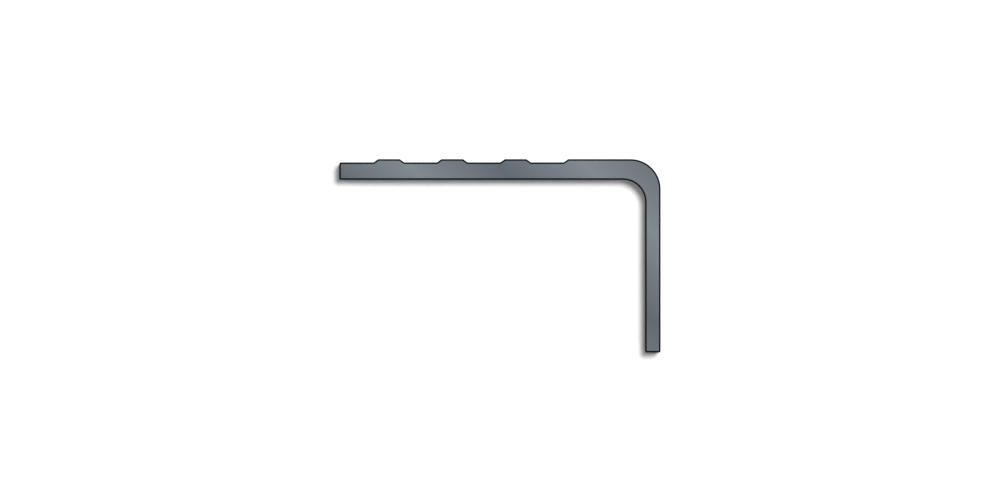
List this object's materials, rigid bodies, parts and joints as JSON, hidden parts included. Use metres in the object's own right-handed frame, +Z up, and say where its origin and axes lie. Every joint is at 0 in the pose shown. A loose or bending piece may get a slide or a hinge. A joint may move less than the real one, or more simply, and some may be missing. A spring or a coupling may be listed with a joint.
{
  "type": "stair nosing",
  "caption": "Ribbed aluminium angle that caps and protects the front edge of a stair tread, cut to one length.",
  "frame": {"origin": "on the floor, under the middle of the part's box, half way along its length", "axes": "+X along the length, +Y across the section from the tread flange's free edge towards the riser flange, +Z up. It rests like a tent: the ribbed tread flange faces -Y and up, the riser flange +Y and up."},
  "size_m": [0.9, 0.058, 0.0255],
  "materials": {
    "satin_aluminium": "satin, blue-grey, as extruded"
  },
  "bodies": {
    "root": {"nosing_profile": "satin_aluminium"}
  },
  "joints": []
}
